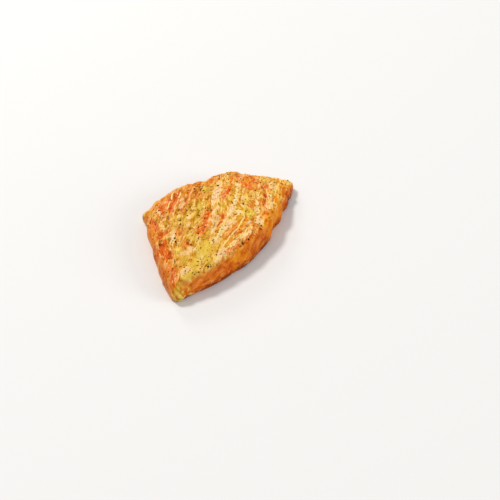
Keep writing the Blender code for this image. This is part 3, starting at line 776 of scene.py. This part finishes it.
# The flesh's looks, with colours as they look in this light. A ramp's stops are (place from 0 to 1, colour),
# dark to light.
fleshLook = {
    "ramps": {
        "flesh": (
            (0.0, "984E0E"), (0.2, "C0731A"), (0.4, "DB902C"),
            (0.58, "EAA83E"), (0.78, "F6C464"), (1.0, "FEE4A8")),
        "warm": (
            (0.0, "A04606"), (0.25, "CC6812"), (0.5, "E7862A"),
            (0.7, "F4A048"), (0.85, "FAC282"), (1.0, "FEDFB6")),
        "red": ((0.0, "9C3604"), (0.3, "CC4E06"), (0.55, "E46A14"), (0.8, "F28A38"), (1.0, "FAB876")),
        "pale": ((0.0, "D68C46"), (0.3, "F0B470"), (0.55, "F9C98C"), (0.8, "FDDEAE"), (1.0, "FFEAC6")),
        "sauce": ((0.0, "987014"), (0.25, "CA9C2C"), (0.5, "E9BE46"), (0.75, "F6D460"), (1.0, "FDEA9E")),
        "amber": ((0.0, "A84A04"), (0.3, "D86C06"), (0.55, "F08C14"), (0.8, "F9AC2A"), (1.0, "FED06C")),
        "wall": ((0.0, "6E2A02"), (0.25, "A64404"), (0.5, "D25C06"), (0.75, "EC7A14"), (1.0, "F8A650")),
        "cutEnd": ((0.0, "8C4C16"), (0.3, "BC7834"), (0.55, "D6924A"), (0.8, "E6AA64"), (1.0, "F4CC94")),
    },
    "colours": {
        # The rim colour is a painted rim light along the back edge.
        "rim": "F6B95C",
        "fat": "FFE890",
        "stain": "845010",
        # The crease colour is painted shade.
        "crease": "623010",
        "wallLine": "F2A45C",        # the seams between flakes, on the sides
        "husk": "5C3006",
        # The glint colour is a painted highlight.
        "glint": "FDDC94",
        # The bright edge of a pale flake is a painted highlight.
        "edgeHighlight": "FFDC88",             # the bright edge of a pale flake
    },
    # Noises: what they follow, their sizes in mm, or in streaks for the sides, their detail and roughness.
    "noises": {
        "flakes": ("grain", (6.5, 1.9, 3.0), 2.0, 0.5),
        "fine": ("grain", (3.6, 0.8, 2.0), 2.0, 0.5),
        "threads": ("grain", (2.4, 0.5, 1.0), 2.0, 0.55),
        "strands": ("grain", (9.0, 2.6, 4.0), 2.0, 0.6),
        "wallThreads": ("streaks", (0.9, 0.35, 0.8), 2.0, 0.55),
        "wallLines": ("streaks", (0.8, 1.1, 0.8), 2.0, 0.5),
        "blotches": ("place", (5.0, 5.0, 5.0), 3.0, 0.5),
        "crumbs": ("place", (1.6, 1.6, 1.6), 2.0, 0.5),
        "patchy": ("place", (14.0, 14.0, 9.0), 2.0, 0.5),
    },
    "plateEdge": (-0.06, 0.06),      # of the flakes' noise: where one plate gives way to the next
    # Sums: where each starts, and how much of each field and noise it takes.
    "sums": {
        # The flesh's tone is painted darker in hollows, as shade.
        "tone": (0.54, {
            "marble": 0.10, "plates": 0.13, "flakes": 0.5, "fine": 0.65, "threads": 0.95,
            "hollow": -0.14, "blotches": 0.5, "crumbs": 0.22, "shade": 0.12}),
        # The sides' tone: darker with the painted shade, lighter with the painted sheen.
        "wallTone": (0.58, {
            "marble": 0.16, "wallThreads": 0.55, "blotches": 0.7, "paintedWallShade": -0.6, "sheen": 0.35}),
        # Sauce on the sides is painted paler, against the shade that falls there.
        "sauceTone": (0.0, {
            "marble": 0.12, "flakes": 0.9, "crumbs": 0.4, "blotches": 0.8, "shade": 0.13, "side": 0.12,
            "threads": 0.45}),
        "paleTone": (0.54, {"fine": 1.5, "threads": 1.7, "blotches": 1.2, "shade": 0.1}),
        "paleFlakes": (0.0, {"paleness": 1.0, "fine": 1.1, "threads": 0.5, "flakes": 0.4}),
        # How much of the painted glints shows: less on the sides and under sauce.
        "glintShare": (0.75, {"side": -0.65, "cover": -0.3}),
    },
    # Where a layer lies: a sum, the values of it between which the layer sets in, and how far it covers.
    "layers": {
        "warm": ({"warmth": 1.0, "flakes": 0.9, "blotches": 0.4}, (0.2, 0.75), 1.0),
        "wallWarm": ({"patchy": 1.0, "wallThreads": 0.4}, (-0.05, 0.2), 0.45),
        "cutEnd": ({"endPale": 1.0, "blotches": 1.0, "wallThreads": 0.5, "patchy": 0.8}, (0.3, 1.0), 0.7),
        "amber": ({"amber": 1.0, "flakes": 0.9, "crumbs": 0.2}, (0.2, 0.8), 0.85),
        "red": ({"redness": 1.0, "flakes": 0.7, "fine": 0.4}, (0.18, 0.55), 1.0),
        "sauce": ({"sauce": 1.0, "flakes": 0.9, "fine": 0.3, "crumbs": 0.15}, (0.25, 0.72), 1.0),
        # The pale patches are partly painted highlights, and their bright edges are painted highlights.
        "edgeHighlight": ({"paleFlakes": 1.0}, (0.35, 0.7), 1.0),
        "pale": ({"paleFlakes": 1.0}, (0.2, 0.5), 0.85),
        # The rim layer is a painted rim light along the back edge.
        "rim": ({"rim": 1.0, "flakes": 1.6}, (0.5, 1.1), 0.35),
        "fat": ({"fat": 1.0, "crumbs": 1.5, "blotches": 2.4}, (1.7, 0.5), 0.88),
        "stain": ({"stain": 1.0, "crumbs": 0.7}, (0.15, 0.8), 0.7),
        # The crease layer is painted shade in the creases.
        "crease": ({"crease": 1.0, "crumbs": 0.8}, (0.25, 0.9), 0.8),
    },
    # Thin lines: how near to zero their noise is, which blotches have them, and their share on top and sides.
    "lines": {
        # The strands are threads of fat, partly painted highlights.
        "strands": ((0.024, 0.006), (-0.05, 0.12), (0.65, 0.0)),
        "wallLines": ((0.07, 0.015), (-0.08, 0.1), (0.0, 0.6)),
    },
    # Spots in cells: what the cells follow, their sizes in mm, which have a spot, and the largest in cells.
    "spots": {
        "husks": ("place", (2.1, 2.1, 2.1), (0.32, 0.95), 0.28),
        # Painted highlights: short bright marks along the grain.
        "glints": ("grain", (3.4, 1.4, 3.0), (0.45, 0.95), 0.3),
    },
    "spotRagged": 0.4,               # how far crumbs push a spot's edge about
    "spotEdge": (0.03, -0.08),       # cells, from outside the spot to inside it
    "huskShare": (0.85, 0.15),       # on the top, on the sides
    "thickAmber": (1.0, 1.8),        # how much amber starts to glow, and glows fully
    "amberGlow": 0.25,               # how much paler thick amber is
    "pooling": (0.6, 1.0),           # how much sauce starts to lie calm, and does so fully
    "calm": 0.4,                     # what is left of the unevenness in a pool
    "poolTone": (0.62, 0.52),        # the sauce's tone if it were quite calm, and where it isn't calm
    "sauceMost": 0.9,                # the share of its own colour that the thickest sauce has
    "roughness": (0.38, 0.28),       # bare flesh, sauce
    "specular": 0.03,
    "coat": (0.14, 0.02),            # on the top, on the sides
    "coatRoughness": 0.14,
    "glow": 0.12,                    # share of light that passes through the flesh
    "glowReach": (2.4, 0.8, 0.3),    # mm in red, green and blue
    "bump": 0.19,                    # mm
    "threadRelief": (0.8, 0.2),      # of the threads, on bare flesh and on sauce
    "crumbRelief": 0.3,              # of the crumbs, everywhere
    "lightShare": 1.16,              # how bright this light makes a white surface
    "gloss": 0.004,                  # what the wet surface adds to every colour
    "darkest": 0.002,                # no colour is darker than this, once it is linear
}


def tint(code):
    # A colour as it looks, turned into the linear one that the shader takes.
    seen = [int(code[k:k + 2], 16) / 255 for k in (0, 2, 4)]
    linear = [c / 12.92 if c <= 0.04045 else ((c + 0.055) / 1.055) ** 2.4 for c in seen]
    bare = [(c - fleshLook["gloss"]) / fleshLook["lightShare"] for c in linear]
    return (*(max(fleshLook["darkest"], c) for c in bare), 1.0)


def ramp(tree, value, stops):
    node = addNode(tree, "ShaderNodeValToRGB", {"Fac": value})
    marks = node.color_ramp.elements
    while len(marks) < len(stops):
        marks.new(1.0)
    for mark, (place, code) in zip(marks, stops):
        mark.position = place
        mark.color = tint(code)
    return node.outputs[0]


def layerShare(tree, parts, name):
    weights, edge, most = fleshLook["layers"][name]
    return calc(tree, "MULTIPLY", rise(tree, summed(tree, parts, 0.0, weights), *edge), most)


def lineShare(tree, parts, name):
    width, blotches, share = fleshLook["lines"][name]
    line = rise(tree, calc(tree, "ABSOLUTE", parts[name]), *width)
    line = calc(tree, "MULTIPLY", line, rise(tree, parts["blotches"], *blotches))
    return calc(tree, "MULTIPLY", line, between(tree, parts["side"], *share))


def spotShare(tree, parts, ways, name):
    way, sizes, chosen, largest = fleshLook["spots"][name]
    cells = addNode(tree, "ShaderNodeTexVoronoi", {
        "Vector": scaled(tree, ways[way], sizes), "Scale": 1.0, "Randomness": 1.0}).outputs
    luck = addNode(tree, "ShaderNodeSeparateColor", {"Color": cells["Color"]}).outputs[0]
    size = calc(tree, "MULTIPLY", rise(tree, luck, *chosen), largest)
    away = calc(tree, "MULTIPLY_ADD", parts["crumbs"], fleshLook["spotRagged"], cells["Distance"])
    return rise(tree, calc(tree, "SUBTRACT", away, size), *fleshLook["spotEdge"])


def fleshParts(tree):
    # The ways that patterns may follow, and what the layers are made of: painted fields and noises.
    look = fleshLook
    ways = {"place": placeInMm(tree)} | {name: painted(tree, name, "Vector") for name in ("grain", "streaks")}
    parts = {name: painted(tree, name) for name in fieldNames}
    for name, (way, *shape) in look["noises"].items():
        parts[name] = stretchedNoise(tree, ways[way], *shape)
    parts["plates"] = calc(tree, "SUBTRACT", rise(tree, parts["flakes"], *look["plateEdge"]), 0.5)
    parts["cover"] = layerShare(tree, parts, "sauce")
    parts["paleFlakes"] = summed(tree, parts, *look["sums"]["paleFlakes"])
    return ways, parts


def fleshColour(tree, ways, parts):
    # Layer on layer, from the flesh up. Each name is one of the looks above.
    look = fleshLook
    side = parts["side"]

    def total(name):
        return summed(tree, parts, *look["sums"][name])

    def shaded(name, tone):
        return ramp(tree, tone, look["ramps"][name])

    def plain(name):
        return tint(look["colours"][name])

    def laid(under, name, over):
        return mixed(tree, layerShare(tree, parts, name), under, over)

    # The flesh itself, and the sides with their flake lines and the paler cut end.
    wallTone = total("wallTone")
    tone = between(tree, side, total("tone"), wallTone)
    colour = laid(shaded("flesh", tone), "warm", shaded("warm", tone))
    colour = mixed(tree, side, colour, laid(shaded("wall", wallTone), "wallWarm", shaded("warm", wallTone)))
    colour = mixed(tree, lineShare(tree, parts, "wallLines"), colour, plain("wallLine"))
    colour = laid(colour, "cutEnd", shaded("cutEnd", wallTone))

    # Clear amber glaze, brighter where it is thick, and bare red flesh.
    thick = rise(tree, parts["amber"], *look["thickAmber"])
    tone = calc(tree, "MULTIPLY_ADD", thick, look["amberGlow"], tone)
    colour = laid(colour, "amber", shaded("amber", tone))
    colour = laid(colour, "red", shaded("red", tone))

    # Mustard sauce: clear where it is thin, so the flesh shows through, and calm where it pools.
    calm = between(tree, rise(tree, parts["sauce"], *look["pooling"]), 1.0, look["calm"])
    sauceTone = calc(tree, "MULTIPLY_ADD", total("sauceTone"), calm, between(tree, calm, *look["poolTone"]))
    cover = calc(tree, "MULTIPLY", parts["cover"], look["sauceMost"])
    colour = mixed(tree, cover, colour, shaded("sauce", sauceTone))
    # Pale flakes, partly painted highlights, with painted highlights along their edges.
    colour = laid(colour, "pale", laid(plain("edgeHighlight"), "edgeHighlight", shaded("pale", total("paleTone"))))

    # Thin bright threads run everywhere along the grain: fat, and partly painted highlights where the wet
    # flakes catch the light. Thicker lines of fat lie where they are drawn.
    colour = mixed(tree, lineShare(tree, parts, "strands"), colour, plain("fat"))
    # Lines of fat, a painted rim light on the back edge, brown stains, and painted shade in the creases.
    for name in ("rim", "fat", "stain", "crease"):
        colour = laid(colour, name, plain(name))

    # Brown specks of pepper dust and mustard husk, and painted glints: short bright marks where flakes catch
    # the light.
    husks = spotShare(tree, parts, ways, "husks")
    husks = calc(tree, "MULTIPLY", husks, between(tree, side, *look["huskShare"]))
    colour = mixed(tree, husks, colour, plain("husk"))
    glints = spotShare(tree, parts, ways, "glints")
    glints = calc(tree, "MULTIPLY", glints, total("glintShare"), clamp=True)
    return mixed(tree, glints, colour, plain("glint"))


def fleshMaterial():
    look = fleshLook
    material, tree, surface = newMaterial("glazedFlesh")
    ways, parts = fleshParts(tree)
    cover = parts["cover"]
    relief = calc(tree, "MULTIPLY", parts["threads"], between(tree, cover, *look["threadRelief"]))
    relief = calc(tree, "MULTIPLY_ADD", parts["crumbs"], look["crumbRelief"], relief)
    bump = addNode(tree, "ShaderNodeBump", {"Height": relief, "Distance": look["bump"] * mm, "Strength": 1.0})
    plug(tree, surface, {
        "Base Color": fleshColour(tree, ways, parts),
        "Roughness": between(tree, cover, *look["roughness"]),
        "Specular IOR Level": look["specular"],
        "Coat Weight": between(tree, parts["side"], *look["coat"]),
        "Coat Roughness": look["coatRoughness"],
        "Subsurface Weight": look["glow"],
        "Subsurface Radius": look["glowReach"],
        "Subsurface Scale": mm,
        "Normal": bump.outputs[0],
    })
    return material


# The grains on the fillet. perMm2: how many lie on a square millimetre. smallest, largest: half their widths
# in mm. flat: a grain's height as a share of its width. crush: the mm from the deepest dent in a grain to its
# highest bump. onBareFlesh: the share of the grains that lies where there is no sauce too.
scatter = {
    "pepper": {
        "piece": "pepperGrains", "perMm2": 0.05, "smallest": 0.27, "largest": 0.82, "flat": 0.75,
        "crush": 0.32, "onBareFlesh": 1.0, "seed": 4, "colours": ("2E1604", "74440C"), "roughness": 0.75},
    "herbs": {
        "piece": "herbFlecks", "perMm2": 0.03, "smallest": 0.25, "largest": 0.70, "flat": 0.3,
        "crush": 0.4, "onBareFlesh": 0.4, "seed": 9, "colours": ("4E3404", "84600E"), "roughness": 0.7},
}
grainLook = {
    "patchSize": 7.0,           # mm, the size of the patches with more and with fewer grains
    "patches": (-0.9, 0.7),     # of that unevenness: no grains below the first, most above the second
    "clearOfSides": 0.85,       # the share of the grains that stays off the sides
    "lean": (0.5, 0.5, 6.28),   # radians, the most that a grain is turned
    "smallOnes": 3.0,           # the higher, the more of the grains are small
    "long": (0.8, 1.5),         # a grain's length as a share of its width
    "dents": 1100.0,            # to the metre
    "mottle": (1.6, 3.0, 0.55),  # mm, and the detail and roughness of the noise that colours a grain
    "mottleEdge": (-0.15, 0.2),  # where that noise is darkest and palest
    "specular": 0.02,
    "bump": (0.1, 0.6),         # mm, and its strength
}
# Where grains of pepper lie together: (x, y, reach) in mm, and how many.
pepperClusters = (
    (-51.5, -43, 1.8, 6), (-40, -42.7, 1.5, 5), (-37.5, -43.3, 1.2, 3), (1, 28.5, 2.0, 5), (3, 31.5, 1.6, 4),
    (-16.3, -13.5, 0.8, 2), (13.5, -14, 1.2, 3), (25.5, -26.5, 1.0, 2), (-31, 7, 1.2, 2),
    (-17.8, 3.8, 1.0, 2), (-6.5, -39.3, 1.5, 3), (-40, 21, 1.0, 1), (42, -3, 1.2, 2), (46, -3, 1.2, 2),
    (19.5, -26, 1.2, 2), (-23, -39.5, 1.6, 3), (-56.5, -26, 1.2, 2), (-39.5, -17, 1.0, 1), (7.7, 17, 0.8, 1),
    (-63, -44.5, 2.0, 3),
)


def grainDensities(points, drawn, side, covered):
    # How many grains of each kind lie on a square millimetre.
    spread = noiseAt(points, grainLook["patchSize"], layers["scatter"], 2)
    even = (1 - grainLook["clearOfSides"] * side) * step(*grainLook["patches"], spread)
    even *= step(*fillet["flatFoot"], points[:, 2])
    found = {}
    for kind, values in scatter.items():
        bare = values["onBareFlesh"]
        found[kind] = even * values["perMm2"] * (bare + (1 - bare) * covered)
    for midX, midY, reach, grains in pepperClusters:
        away = np.hypot(drawn[:, 0] - midX, drawn[:, 1] - midY)
        found["pepper"] += grains / (math.pi * reach**2) * (away < reach) * (1 - side)
    return found


def grainMaterial(values):
    look = grainLook
    material, tree, surface = newMaterial(values["piece"])
    size, detail, roughness = look["mottle"]
    shade = stretchedNoise(tree, placeInMm(tree), (size, size, size), detail, roughness)
    dark, pale = (tint(code) for code in values["colours"])
    depth, strength = look["bump"]
    bump = addNode(tree, "ShaderNodeBump", {"Height": shade, "Distance": depth * mm, "Strength": strength})
    plug(tree, surface, {
        "Base Color": mixed(tree, rise(tree, shade, *look["mottleEdge"]), dark, pale),
        "Roughness": values["roughness"],
        "Specular IOR Level": look["specular"],
        "Normal": bump.outputs[0],
    })
    return material


def scatterTree():
    # Grains on the faces: their number follows the mesh's own density, their size and turn are random.
    look = grainLook
    tree = bpy.data.node_groups.new("scatterGrains", "GeometryNodeTree")
    tree.is_modifier = True
    face = tree.interface
    face.new_socket("Geometry", in_out="OUTPUT", socket_type="NodeSocketGeometry")
    for name, kind in (
        ("Geometry", "Geometry"), ("Smallest", "Float"), ("Largest", "Float"), ("Flatness", "Float"),
        ("Crush", "Float"), ("Seed", "Int"), ("Finish", "Material"),
    ):
        face.new_socket(name, in_out="INPUT", socket_type="NodeSocket" + kind)
    given = tree.nodes.new("NodeGroupInput").outputs

    def chance(low, high, socket, kind="FLOAT", shift=0.0):
        # A random value. socket: the first of the node's two sockets for values of this kind.
        seed = calc(tree, "ADD", given["Seed"], shift)
        sockets = {socket: low, socket + 1: high, "Seed": seed}
        return addNode(tree, "FunctionNodeRandomValue", sockets, data_type=kind).outputs[socket // 2]

    density = addNode(tree, "GeometryNodeInputNamedAttribute", {"Name": "density"}, data_type="FLOAT")
    spread = addNode(tree, "GeometryNodeDistributePointsOnFaces", {
        "Mesh": given["Geometry"], "Density": density.outputs[0], "Seed": given["Seed"]})
    grain = addNode(tree, "GeometryNodeMeshIcoSphere", {"Radius": 1.0, "Subdivisions": 1}).outputs["Mesh"]
    turn = chance((0.0, 0.0, 0.0), look["lean"], 0, "FLOAT_VECTOR")
    lean = addNode(tree, "FunctionNodeRotateEuler", {
        "Rotation": spread.outputs["Rotation"], "Rotate By": turn}, space="LOCAL").outputs[0]
    size = calc(tree, "POWER", chance(0.0, 1.0, 2, shift=1.0), look["smallOnes"])
    size = addNode(tree, "ShaderNodeMapRange", {
        "Value": size, "To Min": given["Smallest"], "To Max": given["Largest"]}).outputs[0]
    length = calc(tree, "MULTIPLY", size, chance(*look["long"], 2, shift=2.0))
    height = calc(tree, "MULTIPLY", size, given["Flatness"])
    shape = addNode(tree, "ShaderNodeCombineXYZ", {"X": length, "Y": size, "Z": height}).outputs[0]
    placed = addNode(tree, "GeometryNodeInstanceOnPoints", {
        "Points": spread.outputs["Points"], "Instance": grain, "Rotation": lean, "Scale": shape}).outputs[0]
    real = addNode(tree, "GeometryNodeRealizeInstances", {"Geometry": placed}).outputs[0]
    # The dents come from a noise that runs from 0 to 1 in all three axes.
    dents = addNode(tree, "ShaderNodeTexNoise", {"Scale": look["dents"], "Detail": 0.0}).outputs["Color"]
    push = addNode(tree, "ShaderNodeVectorMath", {0: dents, 1: (0.5, 0.5, 0.5)}, operation="SUBTRACT")
    push = addNode(tree, "ShaderNodeVectorMath", {
        0: push.outputs[0], "Scale": given["Crush"]}, operation="SCALE").outputs[0]
    crushed = addNode(tree, "GeometryNodeSetPosition", {"Geometry": real, "Offset": push}).outputs[0]
    finished = addNode(tree, "GeometryNodeSetMaterial", {"Geometry": crushed, "Material": given["Finish"]})
    tree.links.new(finished.outputs[0], tree.nodes.new("NodeGroupOutput").inputs[0])
    return tree


def scatterOn(skin, tree, kind, values):
    mesh = skin.data.copy()
    counts = np.empty(len(mesh.vertices), np.float32)
    mesh.attributes[kind].data.foreach_get("value", counts)
    store(mesh, "density", counts / mm**2)      # to the square metre
    holder = bpy.data.objects.new("scattering", mesh)
    bpy.context.scene.collection.objects.link(holder)
    modifier = holder.modifiers.new("scatter", "NODES")
    modifier.node_group = tree
    inputs = {item.name: item.identifier for item in tree.interface.items_tree if item.in_out == "INPUT"}
    for name, value in (
        ("Smallest", values["smallest"] * mm), ("Largest", values["largest"] * mm),
        ("Flatness", values["flat"]), ("Crush", values["crush"] * mm),
        ("Seed", values["seed"]), ("Finish", grainMaterial(values)),
    ):
        modifier[inputs[name]] = value
    graph = bpy.context.evaluated_depsgraph_get()
    grains = bpy.data.meshes.new_from_object(holder.evaluated_get(graph))
    bpy.data.objects.remove(holder)
    points = np.clip(readVectors(grains.vertices, "co"), boxLow * mm, boxHigh * mm)
    grains.vertices.foreach_set("co", points.astype(np.float32).ravel())
    grains.shade_smooth()
    piece = bpy.data.objects.new(values["piece"], grains)
    bpy.context.scene.collection.objects.link(piece)
    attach(piece, "root")
    print(values["piece"] + ":", len(grains.polygons), "faces")


def makeFillet():
    mesh = subdivided(weldedCopy(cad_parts["salmon_fillet"], "filletFlesh"), fillet["smoothing"])
    paintAndCarve(mesh)
    closeFoot(mesh)
    mesh.shade_smooth()
    mesh.materials.append(fleshMaterial())
    piece = bpy.data.objects.new("filletFlesh", mesh)
    bpy.context.scene.collection.objects.link(piece)
    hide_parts("salmon_fillet")
    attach(piece, "root")
    print("fillet:", len(mesh.polygons), "faces")
    return piece


flesh = makeFillet()
grains = scatterTree()
for kind, values in scatter.items():
    scatterOn(flesh, grains, kind, values)

print("done")
